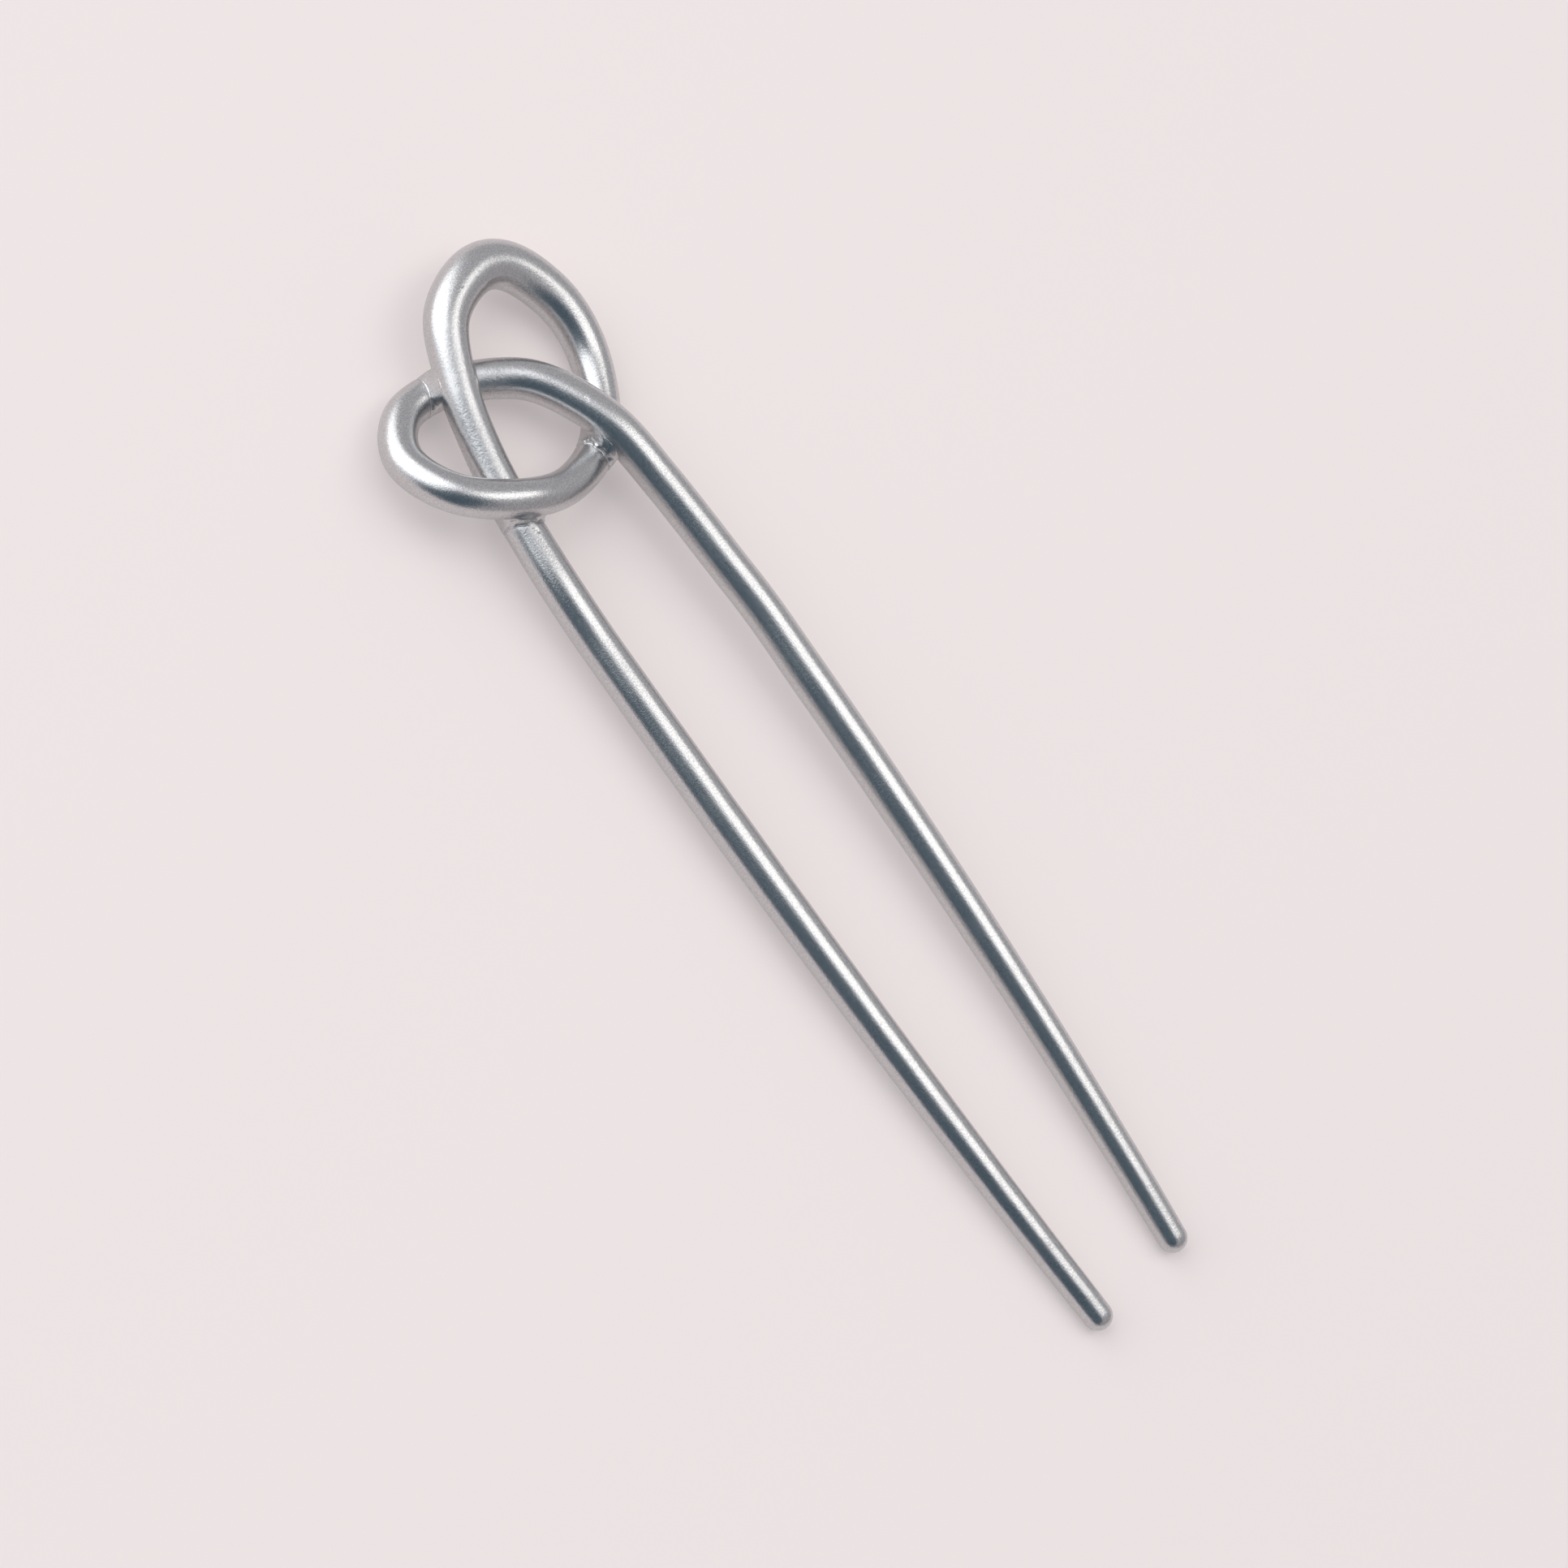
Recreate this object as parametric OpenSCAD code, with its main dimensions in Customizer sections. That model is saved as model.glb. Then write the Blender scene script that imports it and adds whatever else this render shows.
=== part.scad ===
// Two-pronged hairpin cast in one piece: one round wire, tied in an open overhand knot at its head.
// It lies on its back. X runs across the prongs, Y from the tips to the knot, Z up from the surface.
// The origin is on the surface, under the middle of the hairpin's box.

/* [Wire] */
// Diameter of the wire in the upper prongs
wire_d = 3.9; // [3.4:0.1:4.2]
// Diameter at the round tips
tip_d = 2.9; // [2.4:0.1:3.4]
// How far up from the tips the wire goes on growing
taper_len = 60; // [40:1:75]

/* [Prongs] */
// Distance between the middles of the two tips
tip_gap = 11.5; // [8:0.1:16]
// Widest distance between the middles of the two prongs
belly_gap = 15.7; // [14:0.1:18]
// How far up from the tips the prongs are widest apart
belly_at = 62; // [50:1:70]
// How far the middle of the prongs bows up off a straight line
bow = 0.3; // [0:0.1:2]
// How much further than the right prong the left one reaches
left_extra = 0.8; // [0:0.1:2]

/* [Crossings] */
// Diameter of the filling where two turns of the wire are cast together
fill_d = 2.6; // [2.4:0.1:3.2]
// How far the filling runs along each turn, counted in stations of the knot
fill_reach = 0.25; // [0.15:0.05:0.25]

/* [Smoothness] */
// Sides of the wire's section
sides = 24; // [16:2:32]
// Sections from one station to the next
steps = 4; // [3:1:5]

/* [Hidden] */

// The knot's stations, from the left prong round to the right one: x across and y along from the
// middle of the tips, z of the wire's middle above the surface, and the thickness over wire_d
X = 0;
Y = 1;
Z = 2;
THICK = 3;
KNOT = [
    [ -7.8,  78.0, 3.4, 1.00], // end of the left prong
    [ -7.7,  85.0, 3.8, 1.00],
    [ -7.0,  92.6, 3.8, 0.97], // under the lower loop
    [ -6.0,  99.0, 4.1, 0.95],
    [ -4.4, 105.0, 4.6, 0.98], // over the left loop
    [ -1.4, 110.6, 5.0, 1.12],
    [  3.8, 112.9, 4.8, 1.20], // top of the big loop
    [  7.9, 111.4, 4.0, 1.20],
    [ 10.6, 106.0, 2.8, 1.12],
    [ 10.1, 100.0, 2.0, 1.03],
    [  6.1,  93.8, 2.3, 0.96], // under the right prong
    [ -0.6,  91.5, 4.6, 0.92], // bottom of the lower loop
    [ -6.7,  92.6, 6.4, 0.95], // over the left prong
    [-12.0,  96.5, 6.0, 0.96],
    [-13.2, 101.7, 3.8, 0.97], // outside of the left loop
    [-10.0, 105.3, 2.3, 0.95],
    [ -4.8, 105.6, 1.9, 0.96], // under the big loop
    [  0.2, 103.5, 3.1, 0.99],
    [  3.4, 100.3, 4.3, 1.02],
    [  5.9,  94.1, 5.4, 1.01], // over the lower loop
    [  6.9,  87.0, 5.2, 1.00],
    [  7.5,  78.0, 4.9, 1.00]  // end of the right prong
];
// Where the knot crosses itself: the station that passes under, and the one that passes over
CROSSINGS = [[2, 12], [16, 4], [10, 19]];
// Where the wire is cut into lengths: the tops of its two loops
CUTS = [6, 14];

// A prong's station at a share of the way from its tip to the knot: the gap follows a parabola to
// its widest place, the height a straight line with the bow on it, and the taper fades out upwards
prong_stations = 12;
taper_power = 1.4;
function prong(side, share) =
    let (
        knot_end = side < 0 ? KNOT[0] : KNOT[len(KNOT) - 1],
        y = knot_end[Y] * share + side * left_extra / 2 * (1 - share),
        narrow = max(0, 1 - y / belly_at),
        thin = max(0, 1 - y / taper_len),
        half_gap = belly_gap / 2 - (belly_gap - tip_gap) / 2 * narrow * narrow,
        z = tip_d / 2 * (1 - share) + knot_end[Z] * share + bow * 4 * share * (1 - share)
    )
    [side * half_gap, y, z, 1 - (1 - tip_d / wire_d) * pow(thin, taper_power)];

STATIONS = concat(
    [for (i = [0 : prong_stations - 1]) prong(-1, i / prong_stations)],
    KNOT,
    [for (i = [prong_stations - 1 : -1 : 0]) prong(1, i / prong_stations)]
);
last = len(STATIONS) - 1;

// A smooth curve through the stations, at a station's number or between two numbers
function station(i) = STATIONS[min(max(i, 0), last)];
function wire_at(s) =
    let (i = floor(s), t = s - i, a = station(i - 1), b = station(i), c = station(i + 1), d = station(i + 2))
    (2 * b + (c - a) * t + (2 * a - 5 * b + 4 * c - d) * t * t + (3 * b - a - 3 * c + d) * t * t * t) / 2;

function place(s) = let (p = wire_at(s)) [p[X], p[Y], p[Z]];
function unit(v) = v / norm(v);
function heading(s) = unit(place(s + 0.1) - place(s - 0.1));

// A round section of the wire, square to its heading
function section(middle, ahead, d) =
    let (across = unit(cross(ahead, [0, 0, 1])), up = cross(across, ahead))
    [for (k = [0 : sides - 1]) let (a = 360 * k / sides)
        middle + d / 2 * (cos(a) * across + sin(a) * up)];

// Sections of the round end beyond a tip, from the tip outwards
DOME = [15, 30, 45, 60, 75];
function dome(s, out) =
    [for (a = DOME) section(place(s) + out * tip_d / 2 * sin(a) * heading(s), heading(s), tip_d * cos(a))];
function reversed(list) = [for (i = [len(list) - 1 : -1 : 0]) list[i]];

WIRE = concat(
    reversed(dome(0, -1)),
    [for (i = [0 : last * steps]) let (s = i / steps) section(place(s), heading(s), wire_at(s)[THICK] * wire_d)],
    dome(last, 1)
);

// The middle of the bottom of the wire's box
function reach(axis) = [for (ring = WIRE, p = ring) p[axis]];
function middle(list) = (min(list) + max(list)) / 2;
UNDERSIDE = [middle(reach(X)), middle(reach(Y)), min(reach(Z))];

// One length of the wire, from section a to section b, closed by a flat face at each end
module strand(a, b) {
    count = b - a;
    ring = [for (k = [0 : sides - 1]) k];
    points = [for (i = [a : b]) each WIRE[i]];
    middles = [for (i = [a, b]) (WIRE[i][0] + WIRE[i][sides / 2]) / 2];
    walls = [for (i = [0 : count - 1], k = ring)
        let (here = i * sides, next = here + sides, q = (k + 1) % sides)
        each [[here + k, here + q, next + q], [here + k, next + q, next + k]]];
    start = [for (k = ring) [len(points), (k + 1) % sides, k]];
    end = [for (k = ring) [len(points) + 1, count * sides + k, count * sides + (k + 1) % sides]];
    polyhedron(concat(points, middles), concat(walls, start, end));
}

module ball(s) {
    translate(place(s)) sphere(d = fill_d, $fn = 12);
}

// The metal that fills the four corners between two turns that cross
module filling(under, over) {
    for (a = [-fill_reach, fill_reach], b = [-fill_reach, fill_reach])
        hull() {
            ball(prong_stations + under + a);
            ball(prong_stations + over + b);
        }
}

// The wire is made in lengths, so that none meets itself, and they are joined end to end
module hairpin() {
    ends = concat(0, [for (c = CUTS) len(DOME) + (prong_stations + c) * steps], len(WIRE) - 1);
    color("silver")
        translate(-UNDERSIDE) {
            for (i = [1 : len(ends) - 1]) strand(ends[i - 1], ends[i]);
            for (c = CROSSINGS) filling(c[0], c[1]);
        }
}

hairpin();
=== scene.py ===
"""Hairpin in satin silver: two prongs and a head tied in an open overhand knot, cast in one piece.

Lengths are in millimetres until a mesh or a light is placed. X runs across the prongs, Y from the
tips to the knot and Z up from the floor, as in the frame that this script loads.
"""

import logging
import math
from dataclasses import dataclass, field
from enum import Enum

import bmesh
import bpy
import numpy as np
from mathutils import Matrix, Vector


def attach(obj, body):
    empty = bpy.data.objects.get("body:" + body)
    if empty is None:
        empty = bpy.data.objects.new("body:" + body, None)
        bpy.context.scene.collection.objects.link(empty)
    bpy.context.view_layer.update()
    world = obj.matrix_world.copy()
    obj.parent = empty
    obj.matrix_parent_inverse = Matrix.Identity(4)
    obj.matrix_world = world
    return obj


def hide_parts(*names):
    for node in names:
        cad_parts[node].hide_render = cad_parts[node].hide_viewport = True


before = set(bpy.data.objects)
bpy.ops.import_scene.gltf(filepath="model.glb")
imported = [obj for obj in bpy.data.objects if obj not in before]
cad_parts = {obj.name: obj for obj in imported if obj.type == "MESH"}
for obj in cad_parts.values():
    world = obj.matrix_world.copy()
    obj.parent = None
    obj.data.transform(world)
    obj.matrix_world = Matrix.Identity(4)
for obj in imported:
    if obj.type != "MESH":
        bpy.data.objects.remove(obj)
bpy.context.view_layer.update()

MM = 0.001
X, Y, Z, THICK = range(4)
Array = np.ndarray
Mesh = bpy.types.Mesh
Socket = bpy.types.NodeSocket
Colour = tuple[float, float, float]
Span = tuple[float, float]
Turns = tuple[Array, Array]
log = logging.getLogger("hairpin")


class Seed(Enum):
    """Seeds of the random unevenness, so that each run gives the same surface."""

    WEB_EDGE = 3
    WEB_EDGE_FINE = 4
    WAVE = 11
    LUMP = 12
    LUMP_FINE = 13


def dots(a: Array, b: Array) -> Array:
    """Dot product of each row of one array with the same row of another."""
    return np.einsum("ij,ij->i", a, b)


def lengths(vectors: Array) -> Array:
    """Length of each row of an array."""
    return np.sqrt(dots(vectors, vectors))


def square_to(ahead: Array) -> tuple[Array, Array]:
    """Unit directions square to each heading: one level, to its right, and one upwards.

    Args:
        ahead: Unit headings, one a row.

    Returns:
        The level directions and the upward ones, one of each a row.
    """
    across = np.cross(ahead, [0, 0, 1])
    across /= lengths(across)[:, None]
    return across, np.cross(across, ahead)


def smoothstep(low: float, high: float, value: Array) -> Array:
    """Eases from 0 at low to 1 at high: 3t^2 - 2t^3 of the share t of the way between them.

    Args:
        low: Value at which the result is 0.
        high: Value at which the result is 1. It may be below low.
        value: Values to ease.

    Returns:
        The eased shares.
    """
    t = np.clip((value - low) / (high - low), 0, 1)
    return t * t * (3 - 2 * t)


def soft_min(a: Array, b: Array, width: float) -> Array:
    """Least of two distances with a rounded hollow: min(a, b) - h^2 / 4w.

    h is w - |a - b| where that is above 0.

    Args:
        a: Distances from one surface.
        b: Distances from the other.
        width: w, how far from the meeting line the rounding starts, in mm.

    Returns:
        The joined distances.
    """
    h = np.maximum(width - np.abs(a - b), 0)
    return np.minimum(a, b) - h * h / (4 * width)


def lumps(
    points: Array, size: float, seed: Seed, waves: int = 28, spread: Span = (0.7, 1.5)
) -> Array:
    """Even, random unevenness: plane cosine waves in random directions, added up.

    Args:
        points: Places in mm, one a row.
        size: Middle wavelength in mm.
        seed: Seed of the random directions.
        waves: Number of waves.
        spread: Shortest and longest wavelength, over the middle one.

    Returns:
        One height a row, from about -1 to 1.
    """
    chance = np.random.default_rng(seed.value)
    ways = chance.normal(size=(waves, 3))
    ways *= 2 * math.pi / (size * chance.uniform(*spread, waves) * lengths(ways))[:, None]
    phases = chance.uniform(0, 2 * math.pi, waves)
    return np.cos(points @ ways.T + phases).sum(1) / math.sqrt(2 * waves)


@dataclass(frozen=True)
class WirePath:
    """Stations that the wire passes through, from the left tip round the knot to the right tip.

    Gaps are measured between the middles of the two prongs.
    """

    wire_d: float = 3.9
    tip_d: float = 2.9
    taper_len: float = 60.0  # how far up from the tips the wire goes on growing
    taper_power: float = 1.4
    tip_gap: float = 11.5
    belly_gap: float = 15.7
    belly_at: float = 62.0  # how far up from the tips the gap is widest
    bow: float = 0.3  # how far the middle of the prongs bows up off a straight line
    left_extra: float = 0.8  # how much further than the right prong the left one reaches
    prong_stations: int = 12
    samples_each: int = 40  # samples from one station to the next
    # x and y from the middle of the tips, height of the wire's middle, and thickness over wire_d
    knot: tuple[tuple[float, float, float, float], ...] = (
        (-7.8, 78.0, 3.4, 1.00),  # end of the left prong
        (-7.7, 85.0, 3.8, 1.00),
        (-7.0, 92.6, 3.8, 0.97),  # under the lower loop
        (-6.0, 99.0, 4.1, 0.95),
        (-4.4, 105.0, 4.6, 0.98),  # over the left loop
        (-1.4, 110.6, 5.0, 1.12),
        (3.8, 112.9, 4.8, 1.20),  # top of the big loop
        (7.9, 111.4, 4.0, 1.20),
        (10.6, 106.0, 2.8, 1.12),
        (10.1, 100.0, 2.0, 1.03),
        (6.1, 93.8, 2.3, 0.96),  # under the right prong
        (-0.6, 91.5, 4.6, 0.92),  # bottom of the lower loop
        (-6.7, 92.6, 6.4, 0.95),  # over the left prong
        (-12.0, 96.5, 6.0, 0.96),
        (-13.2, 101.7, 3.8, 0.97),  # outside of the left loop
        (-10.0, 105.3, 2.3, 0.95),
        (-4.8, 105.6, 1.9, 0.96),  # under the big loop
        (0.2, 103.5, 3.1, 0.99),
        (3.4, 100.3, 4.3, 1.02),
        (5.9, 94.1, 5.4, 1.01),  # over the lower loop
        (6.9, 87.0, 5.2, 1.00),
        (7.5, 78.0, 4.9, 1.00),  # end of the right prong
    )

    def prong(self, side: int) -> Array:
        """Stations of one prong, at even shares of the way from its tip to the knot.

        The gap follows a parabola to its widest place, the height a straight line with the bow on
        it, and the taper fades out upwards as a power of what is left of its length.

        Args:
            side: -1 for the left prong and 1 for the right one.

        Returns:
            One station a row: x, y, z and thickness.
        """
        end = self.knot[0] if side < 0 else self.knot[-1]
        share = np.arange(self.prong_stations) / self.prong_stations
        y = end[Y] * share + side * self.left_extra / 2 * (1 - share)
        narrow = np.maximum(0, 1 - y / self.belly_at)
        thin = np.maximum(0, 1 - y / self.taper_len)
        half_gap = self.belly_gap / 2 - (self.belly_gap - self.tip_gap) / 2 * narrow**2
        z = self.tip_d / 2 * (1 - share) + end[Z] * share + self.bow * 4 * share * (1 - share)
        thick = 1 - (1 - self.tip_d / self.wire_d) * thin**self.taper_power
        return np.column_stack([side * half_gap, y, z, thick])

    def samples(self) -> Array:
        """Catmull-Rom curve through the stations, at even steps from each to the next.

        Returns:
            One sample a row: x, y, z and thickness.
        """
        stations = np.vstack([self.prong(-1), np.array(self.knot), self.prong(1)[::-1]])
        last = len(stations) - 1
        s = np.arange(last * self.samples_each + 1) / self.samples_each
        i = np.floor(s).astype(int)
        t = (s - i)[:, None]
        a, b, c, d = (stations[np.clip(i + k, 0, last)] for k in (-1, 0, 1, 2))
        cubic = 3 * b - a - 3 * c + d
        return (2 * b + (c - a) * t + (2 * a - 5 * b + 4 * c - d) * t**2 + cubic * t**3) / 2


@dataclass(frozen=True)
class Spots:
    """Spots on the wire's surface, by where they are along it and round it."""

    along: Array  # length along the wire from the left tip, in mm
    turn: Array  # degrees round it, 0 level to the right of its heading and 90 on top
    radius: Array  # the wire's radius there

    def beside(self, line: Array | float) -> Array:
        """Length round the wire from a line at a given turn, below 0 on one side of it."""
        return np.radians((self.turn - line + 180) % 360 - 180) * self.radius


@dataclass
class Wire:
    """The wire as close samples along its middle line, on the floor of the loaded frame."""

    path: WirePath = field(default_factory=WirePath)
    straight: float = 0.3  # how far past a sample the wire is taken as straight
    next_turn: float = 12.0  # length of wire within which there is no other turn
    block: int = 512  # points that are compared with all samples at a time
    dome: tuple[float, ...] = (75.0, 50.0, 25.0)  # degrees of a tip's rings, from its end inwards
    middle: Array = field(init=False)
    ahead: Array = field(init=False)
    radius: Array = field(init=False)
    slope: Array = field(init=False)
    along: Array = field(init=False)

    def __post_init__(self) -> None:
        """Samples the path, then moves it so that its box stands centred on the floor's origin."""
        samples = self.path.samples()
        self.middle = samples[:, :3]
        self.radius = samples[:, THICK] * self.path.wire_d / 2
        run = np.gradient(self.middle, axis=0)
        pace = lengths(run)
        self.ahead = run / pace[:, None]
        self.along = np.concatenate([[0], np.cumsum((pace[1:] + pace[:-1]) / 2)])
        self.slope = np.gradient(self.radius, self.along)
        spread = self.radius[:, None] * np.sqrt(1 - self.ahead**2)
        spread[[0, -1]] = self.radius[[0, -1], None]
        low, high = (self.middle - spread).min(0), (self.middle + spread).max(0)
        underside = np.array([(low[X] + high[X]) / 2, (low[Y] + high[Y]) / 2, low[Z]])
        self.middle = self.middle - underside

    def at_station(self, number: Array) -> Array:
        """Numbers of the samples at stations of the knot, counted from the left prong's end."""
        return (self.path.prong_stations + number) * self.path.samples_each

    def nearest(self, points: Array, besides: Array | None = None) -> Array:
        """Nearest sample to each point: the least of |m|^2 - 2 p.m over the samples' middles m.

        Args:
            points: Places in mm, one a row.
            besides: Samples to pass over, one a point, with all others of the same turn.

        Returns:
            One sample's number a point.
        """
        found = np.empty(len(points), int)
        sizes = (lengths(self.middle) ** 2).astype(np.float32)
        columns = (-2 * self.middle.T).astype(np.float32)
        along = self.along.astype(np.float32)
        for start in range(0, len(points), self.block):
            block = slice(start, start + self.block)
            square = points[block].astype(np.float32) @ columns
            square += sizes
            if besides is not None:
                square[np.abs(along - along[besides[block], None]) < self.next_turn] = np.inf
            found[block] = square.argmin(1)
        return found

    def distance(self, points: Array, near: Array, raised: Array | float = 0.0) -> Array:
        """Distance from the wire's surface, taking the wire as straight close to a sample.

        It is the distance from the foot on the middle line, less the radius there. Past either tip
        the foot stays on the last sample, which makes the tip's half ball.

        Args:
            points: Places in mm, one a row.
            near: The sample nearest each point.
            raised: How much taller the upper half of the wire's section stands, in mm.

        Returns:
            One distance a point, below 0 inside.
        """
        offset = points - self.middle[near]
        offset[:, Z] -= np.clip(offset[:, Z], 0, raised)
        back = np.where(near == 0, 0, -self.straight)
        front = np.where(near == len(self.middle) - 1, 0, self.straight)
        run = np.clip(dots(offset, self.ahead[near]), back, front)
        away = lengths(offset - run[:, None] * self.ahead[near])
        return away - self.radius[near] - self.slope[near] * run

    def spots(self, points: Array, near: Array) -> Spots:
        """Where points are along and round the wire.

        Args:
            points: Places in mm, one a row.
            near: The sample nearest each point.

        Returns:
            The spots, with turns from -180 to 180 degrees.
        """
        across, up = square_to(self.ahead[near])
        offset = points - self.middle[near]
        turn = np.degrees(np.arctan2(dots(offset, up), dots(offset, across)))
        return Spots(self.along[near], turn, self.radius[near])

    def tube(self, every: int, sides: int) -> tuple[Array, list[list[int]]]:
        """Round sections carried along the middle line, closed by a point past each tip.

        A section is m + r (cos a across + sin a up). The half balls at the tips are rings too.

        Args:
            every: Samples from one section to the next.
            sides: Corners of a section.

        Returns:
            The corners in mm, and the faces as lists of corner numbers.
        """
        tilt = np.radians(self.dome)
        picks = np.arange(0, len(self.middle), every)
        level, rings = np.zeros(len(picks)), len(tilt)
        samples = np.concatenate([np.full(rings, picks[0]), picks, np.full(rings, picks[-1])])
        tilts = np.concatenate([-tilt, level, tilt[::-1]])
        radius = self.radius[samples, None]
        centre = self.middle[samples] + np.sin(tilts)[:, None] * radius * self.ahead[samples]
        across, up = square_to(self.ahead[samples])
        turn = np.arange(sides)[:, None] * 2 * math.pi / sides
        ring = np.cos(turn) * across[:, None] + np.sin(turn) * up[:, None]
        corners = centre[:, None] + (np.cos(tilts)[:, None] * radius)[:, None] * ring
        outwards = self.ahead[[0, -1]] * [[-1], [1]]
        poles = self.middle[[0, -1]] + self.radius[[0, -1], None] * outwards
        here = np.arange(len(samples) * sides).reshape(-1, sides)
        right = np.roll(here, -1, axis=1)
        walls = np.stack([here[:-1], here[1:], right[1:], right[:-1]], axis=-1).reshape(-1, 4)
        start = np.stack([np.full(sides, here.size), here[0], right[0]], axis=-1)
        end = np.stack([np.full(sides, here.size + 1), right[-1], here[-1]], axis=-1)
        faces = walls.tolist() + start.tolist() + end.tolist()
        return np.vstack([corners.reshape(-1, 3), poles]), faces


@dataclass(frozen=True)
class Web:
    """Metal that fills the space under the upper turn where two turns cross.

    It is a ramp from the upper turn down to a ragged step on the lower one.
    """

    under: int  # the two turns' stations
    over: int
    collar: float  # how far the ramp runs out from the upper turn
    rise: float  # its height there, above the lower turn
    proud: float  # height of the step
    ragged: float  # how far the step's line wanders


class Crossing(Enum):
    """The knot's crossings, each with its web."""

    OVER_LEFT_PRONG = Web(under=2, over=12, collar=0.3, rise=0.6, proud=0.05, ragged=0.10)
    OVER_LEFT_LOOP = Web(under=16, over=4, collar=0.65, rise=1.3, proud=0.01, ragged=0.04)
    OVER_LOWER_LOOP = Web(under=10, over=19, collar=0.65, rise=1.2, proud=0.05, ragged=0.08)


@dataclass(frozen=True)
class Seam:
    """A thin raised line that the mould left along the wire. It fades out at both ends.

    Start and end are lengths along the wire, and the turns degrees round it there, as in Spots.
    """

    start: float
    end: float
    start_turn: float
    end_turn: float
    height: float
    width: float

    def place(self, spots: Spots) -> tuple[Array, Array]:
        """Where spots are against the seam, which runs straight from its start to its end.

        Args:
            spots: Spots on the wire.

        Returns:
            The share of the way along the seam and the distance beside it, in mm.
        """
        share = (spots.along - self.start) / (self.end - self.start)
        line = self.start_turn + share * (self.end_turn - self.start_turn)
        return share, spots.beside(line)


@dataclass(frozen=True)
class Mark:
    """A small swelling or pit, or a patch that was left rough, placed as a seam is."""

    along: float
    turn: float
    length: float
    width: float
    height: float = 0.0
    rough: float = 0.0

    def place(self, spots: Spots) -> tuple[Array, Array]:
        """How far spots are from the mark's middle, in its lengths along and its widths round."""
        return (spots.along - self.along) / self.length, spots.beside(self.turn) / self.width


@dataclass(frozen=True)
class Relief:
    """What the casting left on the wire's surface: seams, swellings, pits and rough patches."""

    seams: tuple[Seam, ...] = (
        Seam(91.5, 87.4, 177.0, 169.0, 0.05, 0.09),  # below the lower loop, at the web's corner
        Seam(116.8, 124.4, 44.0, 38.0, 0.06, 0.18),  # inside the top of the big loop
        Seam(133.8, 135.5, -6.0, -4.0, 0.09, 0.08),  # inside the big loop's right side
        Seam(195.4, 198.6, 24.0, 2.0, 0.03, 0.05),  # beside the right prong's web
        Seam(195.6, 198.6, 18.0, -4.0, 0.03, 0.05),
        Seam(195.9, 198.4, 12.0, -9.0, 0.03, 0.05),
    )
    marks: tuple[Mark, ...] = (
        Mark(91.0, 108.0, 0.9, 1.3, height=0.02, rough=1.0),  # below the lower loop
        Mark(90.6, 95.0, 0.22, 0.14, height=-0.05),
        Mark(90.0, 87.0, 0.18, 0.14, height=-0.04),
        Mark(97.4, 120.0, 1.3, 1.2, rough=0.9),  # between the lower loop and the left loop
        Mark(101.2, 112.0, 3.0, 1.7, rough=1.0),
        Mark(98.5, -168.0, 0.15, 0.2, height=0.05),
        Mark(107.5, 96.0, 3.0, 1.2, rough=0.8),  # on the big loop, above the left loop
        Mark(120.4, 42.0, 3.0, 0.7, rough=0.9),  # inside the top of the big loop
        Mark(114.7, 90.0, 0.12, 0.12, height=-0.03),
        Mark(185.0, 68.0, 2.3, 1.2, rough=1.0),  # on the arc beside the left loop's web
        Mark(193.8, 79.0, 0.18, 0.14, height=-0.05),
        Mark(9.3, 110.0, 0.9, 1.0, height=0.03),  # near the left tip
        Mark(15.0, 80.0, 1.6, 1.0, height=-0.02),
    )
    wave: float = 0.012  # how wavy the whole wire is
    wave_size: float = 8.0
    lump: float = 0.004  # how lumpy the rough patches are
    lump_size: float = 0.9
    fine_lump: float = 0.4  # height of lumps of half that size, over the lumps'
    fade_in: float = 0.15  # share of a seam at which it has its full height
    fade_out: float = 0.8  # and at which it starts to fade
    smallest: float = 0.5  # what is smaller needs a finer mesh
    rough_from: float = 0.5  # and so does a rougher patch
    past_end: float = 0.05  # how far that goes past a seam's ends, over its length
    patch_reach: float = 1.2  # and round a patch or a dent, over its size
    dent_reach: float = 2.5

    def at(self, points: Array, spots: Spots) -> tuple[Array, Array]:
        """Height of the relief at each point, and how rough the surface is there.

        A seam is a bell curve across its line, and a mark is a bell curve both ways. Rough patches
        are lumpy, and the whole wire is a little wavy.

        Args:
            points: Places in mm, one a row.
            spots: The same places along and round the wire.

        Returns:
            Heights in mm, and roughness from 0 to 1.
        """
        height = self.wave * lumps(points, self.wave_size, Seed.WAVE)
        rough = np.zeros(len(points))
        for seam in self.seams:
            share, off = seam.place(spots)
            fade = smoothstep(0, self.fade_in, share) * smoothstep(1, self.fade_out, share)
            height += seam.height * fade * np.exp(-((off / seam.width) ** 2))
        for mark in self.marks:
            far, off = mark.place(spots)
            bell = np.exp(-(far**2) - off**2)
            height += mark.height * bell
            rough += mark.rough * bell
        rough = np.minimum(rough, 1)
        height += self.lump * rough * lumps(points, self.lump_size, Seed.LUMP)
        fine = lumps(points, self.lump_size / 2, Seed.LUMP_FINE)
        height += self.fine_lump * self.lump * rough * fine
        return height, rough

    def close(self, spots: Spots) -> Array:
        """Where the relief is too fine for the plain mesh.

        Args:
            spots: Places along and round the wire.

        Returns:
            True for each spot within reach of a seam, a small mark or a rough patch.
        """
        near = np.zeros(len(spots.along), bool)
        for seam in self.seams:
            share, off = seam.place(spots)
            near |= (np.abs(share - 0.5) < 0.5 + self.past_end) & (np.abs(off) < self.smallest)
        for mark in self.marks:
            far, off = mark.place(spots)
            reach = self.patch_reach if mark.rough > 0 else self.dent_reach
            small = mark.length < self.smallest or mark.rough > self.rough_from
            near |= small & (far**2 + off**2 < reach**2)
        return near


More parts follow.
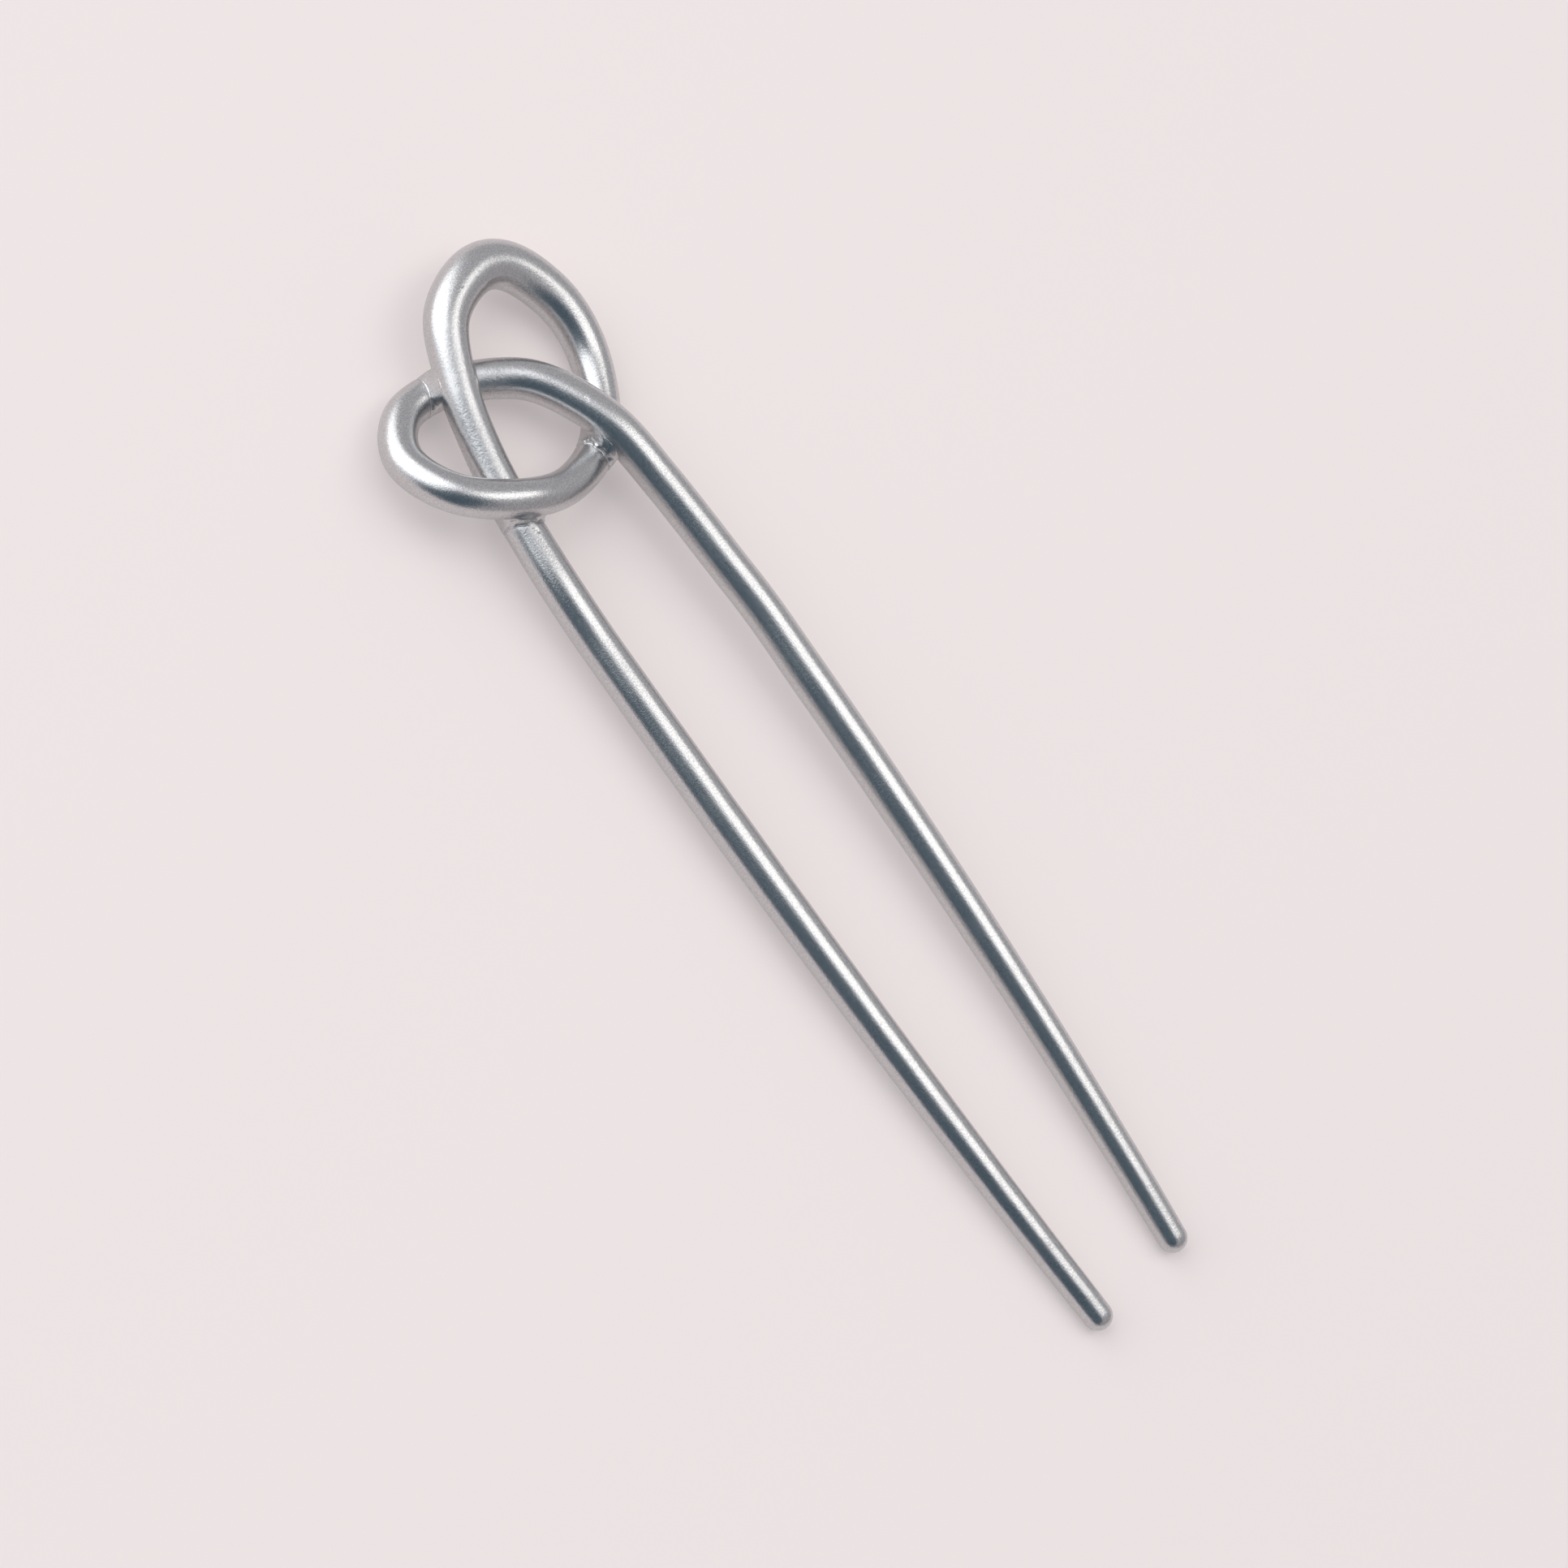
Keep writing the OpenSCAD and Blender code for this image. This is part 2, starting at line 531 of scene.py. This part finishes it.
@dataclass
class Casting:
    """The hairpin's surface: the wire's turns and their webs as one body, with its relief."""

    wire: Wire
    relief: Relief = field(default_factory=Relief)
    voxel: float = 0.3  # size of the plain mesh's faces
    fine_reach: float = 4.0  # how far from a crossing the faces are halved
    knot_from: float = 26.0  # y beyond which the wire has other turns near it
    tighter: float = 4.0  # how many times shorter the webs are towards +X and +Y
    hollow: float = 0.15  # width of the soft hollow between a web and the upper turn
    step_half: float = 0.04  # half the width of the step round a web
    rag_size: float = 0.9  # wavelength of the step's ragged line
    fine_rag_size: float = 0.4
    fine_rag: float = 0.5  # how far the finer waves go, over the longer ones
    crease: float = 0.09  # depth of the crease at the foot of the step
    crease_width: float = 0.09
    rim_height: float = 0.15  # how far off the lower turn crease and rim reach
    rim_width: float = 0.3  # width of the rough rim along the step
    rim_rough: float = 0.4
    detail_reach: float = 0.35  # how far from the step the finer mesh goes, level
    detail_height: float = 0.3  # and off the lower turn
    probe: float = 0.02  # length over which the surface's slope is measured
    least_slope: float = 0.5
    longest_step: float = 0.4  # most distance that one of Newton's steps takes off

    def crossing_places(self) -> Array:
        """Middle of each crossing, halfway between its two stations, one a row."""
        pairs = [(c.value.under, c.value.over) for c in Crossing]
        return self.wire.middle[self.wire.at_station(np.array(pairs))].mean(1)

    def turns(self, points: Array) -> Turns:
        """Nearest sample to each point, and the nearest of another turn.

        Below the knot no other turn is near, so there the knot's middle sample stands for it.

        Args:
            points: Places in mm, one a row.

        Returns:
            The two samples' numbers, one of each a point.
        """
        near = self.wire.nearest(points)
        other = np.full(len(points), len(self.wire.middle) // 2)
        knot = points[:, Y] > self.knot_from
        other[knot] = self.wire.nearest(points[knot], besides=near[knot])
        return near, other

    def web_sizes(self, points: Array) -> Array:
        """Sizes of the web at the crossing nearest each point.

        Args:
            points: Places in mm, one a row.

        Returns:
            Rows of the collar with its ragged edge, the rise, and how proud the step stands.
        """
        nearest = np.stack([lengths(points - place) for place in self.crossing_places()]).argmin(0)
        webs = [c.value for c in Crossing]
        sizes = np.array([[w.collar, w.ragged, w.rise, w.proud] for w in webs])
        collar, ragged, rise, proud = sizes[nearest].T
        knot = points[:, Y] > self.knot_from
        edge = lumps(points[knot], self.rag_size, Seed.WEB_EDGE)
        edge += self.fine_rag * lumps(points[knot], self.fine_rag_size, Seed.WEB_EDGE_FINE)
        collar[knot] += ragged[knot] * edge
        return np.stack([collar, rise, proud])

    def body(self, points: Array, turns: Turns, sizes: Array) -> Array:
        """Distance from the fused surface: the least of both turns and the web between them.

        The web is the lower turn with its upper half raised by rise (1 - beside / collar), for the
        distance beside the upper turn. It runs into the upper turn with a soft hollow, and stands a
        little proud, which leaves a ragged step round it.

        Args:
            points: Places in mm, one a row.
            turns: The nearest samples of both turns.
            sizes: The web's sizes there.

        Returns:
            One distance a point.
        """
        upper, lower, beside = self.crossed(points, turns)
        collar, rise, proud = sizes
        raised = rise * np.clip(1 - beside / collar, 0, 1)
        step = smoothstep(self.step_half, -self.step_half, beside - collar)
        web = self.wire.distance(points, lower, raised) - proud * step
        return soft_min(self.wire.distance(points, upper), web, self.hollow)

    def crossed(self, points: Array, turns: Turns) -> tuple[Array, Array, Array]:
        """Which of two turns is the upper one, and how far beside it each point is.

        The distance counts for more on the side towards +X and +Y, where the webs are tighter.

        Args:
            points: Places in mm, one a row.
            turns: The nearest samples of both turns.

        Returns:
            The samples on the upper turn, those on the lower one, and the level distances from the
            upper turn's outline as seen from above.
        """
        near, other = turns
        first_is_over = self.wire.middle[near, Z] > self.wire.middle[other, Z]
        upper = np.where(first_is_over, near, other)
        lower = np.where(first_is_over, other, near)
        level = np.column_stack([points[:, :Z], self.wire.middle[upper, Z]])
        beside = self.wire.distance(level, upper)
        far = (level - self.wire.middle[upper]).sum(1) > 0
        return upper, lower, np.where(far & (beside > 0), beside * self.tighter, beside)

    def off_step(self, points: Array, turns: Turns) -> tuple[Array, Array]:
        """How far each point is past the step round the web, and how far off the lower turn."""
        _upper, lower, beside = self.crossed(points, turns)
        return beside - self.web_sizes(points)[0], self.wire.distance(points, lower)

    def finished(self, points: Array, normals: Array) -> tuple[Array, Array]:
        """Adds the relief to the fused surface, and a crease and a rough rim along each web's step.

        Args:
            points: Places in mm on the surface, one a row.
            normals: Unit normals there.

        Returns:
            The moved points, and how rough the surface is there, from 0 to 1.
        """
        turns = self.turns(points)
        past, off = self.off_step(points, turns)
        height, rough = self.relief.at(points, self.wire.spots(points, turns[0]))
        low = np.exp(-((off / self.rim_height) ** 2))
        rim = np.exp(-((past / self.rim_width) ** 2)) * low
        groove = np.exp(-(((past - self.crease_width) / self.crease_width) ** 2)) * low
        height -= self.crease * groove
        return points + height[:, None] * normals, np.minimum(rough + self.rim_rough * rim, 1)

    def wants_detail(self, points: Array) -> Array:
        """Where the mesh has to be finest: along the steps of the webs and on the relief.

        Args:
            points: Places in mm, one a row.

        Returns:
            True for each such point.
        """
        turns = self.turns(points)
        past, off = self.off_step(points, turns)
        step = (np.abs(past) < self.detail_reach) & (off < self.detail_height)
        return step | self.relief.close(self.wire.spots(points, turns[0]))

    def settled(self, points: Array, rounds: int = 1) -> tuple[Array, Array]:
        """Moves points onto the fused surface by Newton's steps: p - f g / |g|^2.

        f is the distance there, and g its slope, from differences to both sides along each axis.

        Args:
            points: Places in mm near the surface, one a row.
            rounds: Number of steps.

        Returns:
            The moved points, and the unit normals there.
        """
        for _ in range(rounds):
            known = (self.turns(points), self.web_sizes(points))
            value = np.clip(self.body(points, *known), -self.longest_step, self.longest_step)
            rises = [
                self.body(points + way, *known) - self.body(points - way, *known)
                for way in self.probe * np.eye(3)
            ]
            slope = np.column_stack(rises) / (2 * self.probe)
            square = np.maximum(dots(slope, slope), self.least_slope**2)
            points = points - slope * (value / square)[:, None]
        return points, slope / lengths(slope)[:, None]

    def evened(self, points: Array, edges: Array, share: float, rounds: int) -> Array:
        """Spreads a mesh's points more evenly over the fused surface.

        Args:
            points: Places in mm near the surface, one a row.
            edges: Numbers of the two ends of each edge.
            share: Share of the way to its neighbours' mean that a point moves in each round.
            rounds: Number of rounds.

        Returns:
            The moved points.
        """
        starts, ends = np.concatenate([edges, edges[:, ::-1]]).T
        count = np.bincount(starts, minlength=len(points))[:, None]
        for _ in range(rounds):
            sums = [np.bincount(starts, points[ends, axis], len(points)) for axis in (X, Y, Z)]
            relaxed = points + share * (np.column_stack(sums) / count - points)
            points, _normals = self.settled(relaxed)
        return points


def rows(items: bpy.types.bpy_prop_collection, name: str, width: int, kind: type) -> Array:
    """Reads a property of all a mesh's vertices or edges.

    Args:
        items: The vertices or edges.
        name: The property.
        width: How many numbers it has.
        kind: Their type.

    Returns:
        One vertex or edge a row.
    """
    flat = np.empty(len(items) * width, kind)
    items.foreach_get(name, flat)
    return flat.reshape(-1, width)


@dataclass(frozen=True)
class Nodes:
    """Adds nodes to a tree."""

    tree: bpy.types.NodeTree

    def add(self, kind: str, **inputs: object) -> bpy.types.Node:
        """Adds a node and sets its sockets.

        Args:
            kind: The node's type.
            **inputs: Values, or sockets to link from. Each goes to the socket of that name, with _
                for a space, or of that number after an i. A name that is a property of the node
                itself sets that instead.

        Returns:
            The new node.
        """
        made = self.tree.nodes.new(kind)
        own = [name for name in inputs if name in made.bl_rna.properties]
        for name in own:
            setattr(made, name, inputs[name])
        for name in (name for name in inputs if name not in own):
            number = name.removeprefix("i")
            socket = made.inputs[int(number) if number.isdigit() else name.replace("_", " ")]
            if isinstance(inputs[name], Socket):
                self.tree.links.new(inputs[name], socket)
            else:
                socket.default_value = inputs[name]
        return made

    def maths(self, operation: str, *values: object) -> Socket:
        """Result of a sum, product or other operation on values or sockets."""
        inputs = {f"i{number}": value for number, value in enumerate(values)}
        return self.add("ShaderNodeMath", operation=operation, **inputs).outputs[0]

    def mixed(self, share: Socket, first: object, second: object) -> Socket:
        """Mix of two colours, which are the node's inputs 6 and 7 and its output 2."""
        made = self.add("ShaderNodeMix", data_type="RGBA", i0=share, i6=first, i7=second)
        return made.outputs[2]

    def mapped(
        self, value: Socket, source: Span = (0, 1), target: Span = (0, 1), eased: bool = False
    ) -> Socket:
        """Maps one range of values to another, and holds what is past its ends.

        Args:
            value: Socket with the value.
            source: Values that become the first and the second value of target. They may fall.
            target: Values that the result runs between.
            eased: True to go over smoothly from one to the other.

        Returns:
            The socket with the result.
        """
        kind = "SMOOTHSTEP" if eased else "LINEAR"
        made = self.add("ShaderNodeMapRange", interpolation_type=kind, Value=value)
        ends = zip(("From Min", "From Max", "To Min", "To Max"), (*source, *target))
        for name, end in ends:
            made.inputs[name].default_value = end
        return made.outputs[0]


@dataclass(frozen=True)
class Noise:
    """A cloudy noise around 0.5: its waves a metre, the finer layers on it, and their strength."""

    scale: float
    layers: float
    strength: float

    def add(self, nodes: Nodes, place: Socket) -> Socket:
        """Adds the noise at a place in space and gives the socket with it."""
        inputs = {"Scale": self.scale, "Detail": self.layers, "Roughness": self.strength}
        return nodes.add("ShaderNodeTexNoise", Vector=place, **inputs).outputs[0]


@dataclass(frozen=True)
class CastGrain:
    """Grain of cast and tumbled metal: fine pits, soft dimples and an uneven gloss."""

    pits: Noise = Noise(6500.0, 2.0, 0.6)
    dimples: Noise = Noise(3000.0, 2.0, 0.5)
    patches: Noise = Noise(260.0, 3.0, 0.55)
    dimpled: Span = (0.2, 1.5)  # strength of the dimples on plain metal and on rough patches
    gloss: Span = (0.22, 0.30)  # roughness between the shiniest places and the dullest
    worn: float = 0.08  # how much is added to it on rough patches
    shaded: Span = (0.35, 0.65)  # the fine noise in the darkest pits and on the lightest crests

    def group(self) -> bpy.types.NodeTree:
        """Group that gives the grain's height, the roughness and the shade at each place.

        The height is the sum of the fine noise and the dimples, and the roughness is a noise of its
        own. The surface's own mark, where it was left rough, strengthens both. The shade is 0 in
        the pits and 1 on the crests.

        Returns:
            The group.
        """
        group = bpy.data.node_groups.new("cast_grain", "ShaderNodeTree")
        face = group.interface
        for name, kind in (("Vector", "NodeSocketVector"), ("Rough", "NodeSocketFloat")):
            face.new_socket(name, in_out="INPUT", socket_type=kind)
        for name in ("Height", "Roughness", "Shade"):
            face.new_socket(name, in_out="OUTPUT", socket_type="NodeSocketFloat")
        nodes = Nodes(group)
        way_in = nodes.add("NodeGroupInput")
        place, rough = way_in.outputs["Vector"], way_in.outputs["Rough"]
        fine = self.pits.add(nodes, place)
        strength = nodes.mapped(rough, target=self.dimpled)
        soft = nodes.maths("MULTIPLY", self.dimples.add(nodes, place), strength)
        plain = nodes.mapped(self.patches.add(nodes, place), target=self.gloss)
        nodes.add(
            "NodeGroupOutput",
            Height=nodes.maths("ADD", fine, soft),
            Roughness=nodes.maths("ADD", plain, nodes.maths("MULTIPLY", rough, self.worn)),
            Shade=nodes.mapped(fine, source=self.shaded),
        )
        return group


@dataclass(frozen=True)
class SatinSilver:
    """Satin silver plate over a casting, with a fine grain."""

    pits: Colour = (0.49, 0.49, 0.495)
    crests: Colour = (0.63, 0.63, 0.635)
    grain: CastGrain = CastGrain()
    grain_height: float = 0.018  # for each unit of its noise
    grain_strength: float = 0.8

    def material(self) -> bpy.types.Material:
        """Material with the grain on its colour, roughness and normal, from Object coordinates.

        Returns:
            The material.
        """
        made = bpy.data.materials.new("satin_silver")
        made.use_nodes = True
        tree = made.node_tree
        shader = tree.nodes["Principled BSDF"]
        shader.inputs["Metallic"].default_value = 1.0
        nodes = Nodes(tree)
        grain = nodes.add(
            "ShaderNodeGroup",
            node_tree=self.grain.group(),
            Vector=nodes.add("ShaderNodeTexCoord").outputs["Object"],
            Rough=nodes.add("ShaderNodeAttribute", attribute_name="rough").outputs["Fac"],
        ).outputs
        colour = nodes.mixed(grain["Shade"], (*self.pits, 1), (*self.crests, 1))
        bump = nodes.add(
            "ShaderNodeBump",
            Strength=self.grain_strength,
            Distance=self.grain_height * MM,
            Height=grain["Height"],
        )
        tree.links.new(colour, shader.inputs["Base Color"])
        tree.links.new(grain["Roughness"], shader.inputs["Roughness"])
        tree.links.new(bump.outputs["Normal"], shader.inputs["Normal"])
        return made


@dataclass
class Hairpin:
    """The hairpin's one piece, built from its casting and dressed in satin silver."""

    casting: Casting
    finish: SatinSilver = field(default_factory=SatinSilver)
    blank_step: int = 8  # samples from one section of the blank to the next
    blank_sides: int = 32
    plain_evening: tuple[float, int] = (0.5, 3)  # share and rounds, as in Casting.evened
    fine_evening: tuple[float, int] = (0.4, 2)
    last_steps: int = 2  # steps that settle the points at the end
    sharpest: float = math.radians(80.0)  # an edge that folds more is smoothed

    def fused(self) -> Mesh:
        """Even mesh over the wire: the tube's turns fused into one skin by voxels.

        Returns:
            The mesh, in mm.
        """
        corners, faces = self.casting.wire.tube(self.blank_step, self.blank_sides)
        blank = bpy.data.meshes.new("blank")
        blank.from_pydata(corners.tolist(), [], faces)
        holder = bpy.data.objects.new("blank", blank)
        bpy.context.scene.collection.objects.link(holder)
        fuse = holder.modifiers.new("fuse", "REMESH")
        fuse.mode = "VOXEL"
        fuse.voxel_size = self.casting.voxel
        graph = bpy.context.evaluated_depsgraph_get()
        skin = bpy.data.meshes.new_from_object(holder.evaluated_get(graph))
        bpy.data.objects.remove(holder)
        bpy.data.meshes.remove(blank)
        return skin

    def refine(self, skin: Mesh, close: Array) -> None:
        """Halves the faces where the webs and the relief need the detail.

        Vertices that this leaves with only two edges are taken out again.

        Args:
            skin: The mesh, in mm. It is changed.
            close: True for each vertex there.
        """
        picked = close[rows(skin.edges, "vertices", 2, int)].all(1)
        body = bmesh.new()
        body.from_mesh(skin)
        edges = [edge for edge, pick in zip(body.edges, picked) if pick]
        bmesh.ops.subdivide_edges(body, edges=edges, cuts=1, use_grid_fill=True)
        loose = [vert for vert in body.verts if len(vert.link_edges) == 2]
        bmesh.ops.dissolve_verts(body, verts=loose)
        body.to_mesh(skin)
        body.free()

    def unfold(self, skin: Mesh, rounds: int = 6, share: float = 0.5) -> None:
        """Smooths away the small folds that the webs' narrow corners leave.

        Args:
            skin: The mesh. It is changed.
            rounds: How often the ends of the folded edges move.
            share: Share of the way to their neighbours' mean that they move.
        """
        axes = {"use_axis_x": True, "use_axis_y": True, "use_axis_z": True}
        body = bmesh.new()
        body.from_mesh(skin)
        for _ in range(rounds):
            body.normal_update()
            folded = [
                vert
                for vert in body.verts
                if any(edge.calc_face_angle(0.0) > self.sharpest for edge in vert.link_edges)
            ]
            bmesh.ops.smooth_vert(body, verts=folded, factor=share, **axes)
        body.to_mesh(skin)
        body.free()

    def shape(self) -> tuple[Mesh, Array]:
        """Builds the mesh: fused, settled on the casting's surface, refined and finished.

        Returns:
            The mesh in metres, and how rough it is at each vertex, from 0 to 1.
        """
        casting, skin = self.casting, self.fused()
        points, edges = rows(skin.vertices, "co", 3, float), rows(skin.edges, "vertices", 2, int)
        points = casting.evened(points, edges, *self.plain_evening)
        skin.vertices.foreach_set("co", points.ravel())
        gaps = np.stack([lengths(points - place) for place in casting.crossing_places()]).min(0)
        self.refine(skin, (gaps < casting.fine_reach) | casting.wants_detail(points))
        self.refine(skin, casting.wants_detail(rows(skin.vertices, "co", 3, float)))
        points, edges = rows(skin.vertices, "co", 3, float), rows(skin.edges, "vertices", 2, int)
        points = casting.evened(points, edges, *self.fine_evening)
        points, rough = casting.finished(*casting.settled(points, self.last_steps))
        skin.vertices.foreach_set("co", (points * MM).ravel())
        self.unfold(skin)
        return skin, rough

    def build(self) -> bpy.types.Object:
        """Builds the piece, dresses it and puts it on the scene.

        Returns:
            The piece.
        """
        skin, rough = self.shape()
        skin.shade_smooth()
        mark = skin.attributes.new("rough", "FLOAT", "POINT")
        mark.data.foreach_set("value", rough.astype(np.float32))
        skin.materials.clear()
        skin.materials.append(self.finish.material())
        skin.name = "hairpin_casting"
        piece = bpy.data.objects.new("hairpin_casting", skin)
        bpy.context.scene.collection.objects.link(piece)
        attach(piece, "root")
        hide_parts("hairpin")
        return piece


@dataclass(frozen=True)
class PaleFloor:
    """Pale rose studio floor, wide enough for any view. A faint glow of its own keeps it light."""

    half_width: float = 3000.0
    colour: Colour = (0.55, 0.497, 0.49)
    glow: Colour = (0.285, 0.262, 0.262)
    roughness: float = 0.9
    specular: float = 0.1

    def build(self) -> bpy.types.Object:
        """Builds the floor as one square face under the part.

        Returns:
            The floor.
        """
        w = self.half_width * MM
        mesh = bpy.data.meshes.new("floor")
        mesh.from_pydata([(-w, -w, 0), (w, -w, 0), (w, w, 0), (-w, w, 0)], [], [(0, 1, 2, 3)])
        made = bpy.data.materials.new("pale_floor")
        made.use_nodes = True
        shader = made.node_tree.nodes["Principled BSDF"].inputs
        shader["Base Color"].default_value = (*self.colour, 1)
        shader["Roughness"].default_value = self.roughness
        shader["Specular IOR Level"].default_value = self.specular
        shader["Emission Color"].default_value = (*self.glow, 1)
        shader["Emission Strength"].default_value = 1.0
        mesh.materials.append(made)
        floor = bpy.data.objects.new("floor", mesh)
        bpy.context.scene.collection.objects.link(floor)
        return floor


@dataclass(frozen=True)
class SoftBox:
    """A soft, even light that faces the part from one side."""

    name: str
    lean: Span  # degrees off straight up, towards +X and towards +Y
    size: Span
    radiance: float
    colour: Colour = (1.0, 1.0, 1.0)
    seen: bool = True  # whether the metal reflects it
    away: float = 1100.0

    def build(self) -> bpy.types.Object:
        """Places the light, with the energy that gives its face the radiance.

        Returns:
            The light.
        """
        lean_x, lean_y = self.lean
        spread, turn = math.radians(math.hypot(lean_x, lean_y)), math.atan2(lean_y, lean_x)
        flat = math.sin(spread)
        way = Vector((flat * math.cos(turn), flat * math.sin(turn), math.cos(spread)))
        lamp = bpy.data.lights.new(self.name, "AREA")
        lamp.shape = "RECTANGLE"
        lamp.size, lamp.size_y = (side * MM for side in self.size)
        lamp.color = self.colour
        lamp.energy = math.pi * lamp.size * lamp.size_y * self.radiance
        light = bpy.data.objects.new(self.name, lamp)
        light.location = way * self.away * MM
        light.rotation_mode = "QUATERNION"
        light.rotation_quaternion = Vector((0, 0, 1)).rotation_difference(way)
        light.visible_camera = False
        light.visible_glossy = self.seen
        bpy.context.scene.collection.objects.link(light)
        return light


BEHIND: Span = (-24.9, 52.9)
WARM: Colour = (1.0, 0.972, 0.935)
COOL: Colour = (0.99, 0.995, 1.0)


@dataclass(frozen=True)
class Studio:
    """Softboxes overhead and behind, grey walls, and a slate screen on the left.

    Leans are degrees off straight up, towards +X and towards +Y.
    """

    left: Colour = (0.86, 0.88, 0.92)
    right: Colour = (0.52, 0.52, 0.54)
    front: Colour = (0.45, 0.435, 0.45)
    slate: Colour = (0.08, 0.12, 0.155)
    backdrop: Colour = (0.90, 0.81, 0.82)
    to_right: Span = (-28.0, 28.0)  # leans over which the left wall goes into the right one
    to_front: Span = (-17.0, -53.0)  # and both into the front wall
    screen_lean: Span = (-56.6, -20.8)
    screen_reach: Span = (50.0, 46.0)
    screen_fade: Span = (1.12, 0.8)  # the screen's soft edge, over its reach
    boxes: tuple[SoftBox, ...] = (
        SoftBox("overhead_softbox", (21.2, -8.1), (850.0, 474.0), 1.62, WARM),
        SoftBox("back_softbox", BEHIND, (1520.0, 1730.0), 0.92, COOL),
        # the brighter middle of the one behind, nearer than that or it wouldn't show
        SoftBox("back_softbox_core", BEHIND, (1100.0, 1280.0), 0.5, COOL, away=1040.0),
        SoftBox("floor_fill", (0.0, 0.0), (1600.0, 1600.0), 0.3, seen=False),
    )

    def lean(self, nodes: Nodes) -> Socket:
        """Degrees that each direction leans off straight up, shared between X and Y.

        Args:
            nodes: The surroundings' nodes.

        Returns:
            The socket with the lean as a vector.
        """
        way = nodes.add("ShaderNodeTexCoord").outputs["Generated"]
        x, y, z = nodes.add("ShaderNodeSeparateXYZ", Vector=way).outputs
        flat = nodes.add("ShaderNodeCombineXYZ", X=x, Y=y, Z=0.0).outputs[0]
        size = nodes.add("ShaderNodeVectorMath", operation="LENGTH", i0=flat).outputs["Value"]
        degrees = nodes.maths("DEGREES", nodes.maths("ARCCOSINE", z))
        share = nodes.maths("DIVIDE", degrees, size)
        lean = nodes.add("ShaderNodeVectorMath", operation="SCALE", i0=flat, Scale=share)
        return lean.outputs[0]

    def screen(self, nodes: Nodes, lean: Socket) -> Socket:
        """How much of the slate screen is seen in each direction: it fades out over an ellipse.

        Args:
            nodes: The surroundings' nodes.
            lean: Socket with the direction's lean.

        Returns:
            The socket with the share, from 0 to 1.
        """
        kind = "ShaderNodeVectorMath"
        middle, reach = (*self.screen_lean, 0.0), (*self.screen_reach, 1.0)
        off = nodes.add(kind, operation="SUBTRACT", i0=lean, i1=middle).outputs[0]
        part = nodes.add(kind, operation="DIVIDE", i0=off, i1=reach).outputs[0]
        far = nodes.add(kind, operation="LENGTH", i0=part).outputs["Value"]
        return nodes.mapped(far, source=self.screen_fade, eased=True)

    def walls(self, nodes: Nodes) -> Socket:
        """Colour of the surroundings: the left wall goes over into the right and the front one.

        Args:
            nodes: The surroundings' nodes.

        Returns:
            The socket with the colour.
        """
        lean = self.lean(nodes)
        sides = nodes.add("ShaderNodeSeparateXYZ", Vector=lean).outputs
        colour = (*self.left, 1)
        for share, wall in (
            (nodes.mapped(sides[X], source=self.to_right, eased=True), self.right),
            (nodes.mapped(sides[Y], source=self.to_front, eased=True), self.front),
            (self.screen(nodes, lean), self.slate),
        ):
            colour = nodes.mixed(share, colour, (*wall, 1))
        return colour

    def build(self) -> None:
        """Adds the lights and the surroundings, which the camera itself sees as a pale backdrop."""
        for box in self.boxes:
            box.build()
        world = bpy.data.worlds.new("studio")
        world.use_nodes = True
        world.node_tree.nodes.clear()
        nodes = Nodes(world.node_tree)
        seen = nodes.add("ShaderNodeLightPath").outputs["Is Camera Ray"]
        lit = nodes.add("ShaderNodeBackground", Color=self.walls(nodes)).outputs[0]
        pale = nodes.add("ShaderNodeBackground", Color=(*self.backdrop, 1)).outputs[0]
        both = nodes.add("ShaderNodeMixShader", i0=seen, i1=lit, i2=pale).outputs[0]
        nodes.add("ShaderNodeOutputWorld", Surface=both)
        bpy.context.scene.world = world


@dataclass(frozen=True)
class StudioCamera:
    """The camera that looks down on the hairpin from its left."""

    aim: tuple[float, float, float] = (0.79, 0.45, 3.0)
    distance: float = 398.0
    azimuth: float = -94.15
    elevation: float = 60.49
    roll: float = 57.68
    lens: float = 97.67
    sensor: float = 36.0
    clip: Span = (10.0, 20000.0)  # nearest and furthest that it sees

    def build(self) -> bpy.types.Object:
        """Places the camera: back from its aim, then rolled about its own axis.

        Returns:
            The camera, which is the scene's.
        """
        a, e, r = (math.radians(v) for v in (self.azimuth, self.elevation, self.roll))
        back = Vector((math.sin(a) * math.cos(e), -math.cos(a) * math.cos(e), math.sin(e)))
        level = Vector((0, 0, 1)).cross(back).normalized()
        rise = back.cross(level)
        right = level * math.cos(r) + rise * math.sin(r)
        up = rise * math.cos(r) - level * math.sin(r)
        lens = bpy.data.cameras.new("camera")
        lens.lens = self.lens
        lens.sensor_width = self.sensor
        lens.clip_start, lens.clip_end = (limit * MM for limit in self.clip)
        camera = bpy.data.objects.new("camera", lens)
        turn = Matrix((right, up, back)).transposed()
        place = (Vector(self.aim) + back * self.distance) * MM
        camera.matrix_world = Matrix.Translation(place) @ turn.to_4x4()
        bpy.context.scene.collection.objects.link(camera)
        bpy.context.scene.camera = camera
        return camera


def main() -> None:
    """Builds the hairpin, the floor, the light and the camera; the loaded part stays in the scene,
    hidden.
    """
    logging.basicConfig(level=logging.INFO, format="%(name)s: %(message)s")
    piece = Hairpin(Casting(Wire())).build()
    log.info("%s: %d faces", piece.name, len(piece.data.polygons))
    PaleFloor().build()
    Studio().build()
    StudioCamera().build()
    view = bpy.context.scene.view_settings
    view.view_transform = "Standard"
    view.look = "None"


if __name__ == "__main__":
    main()
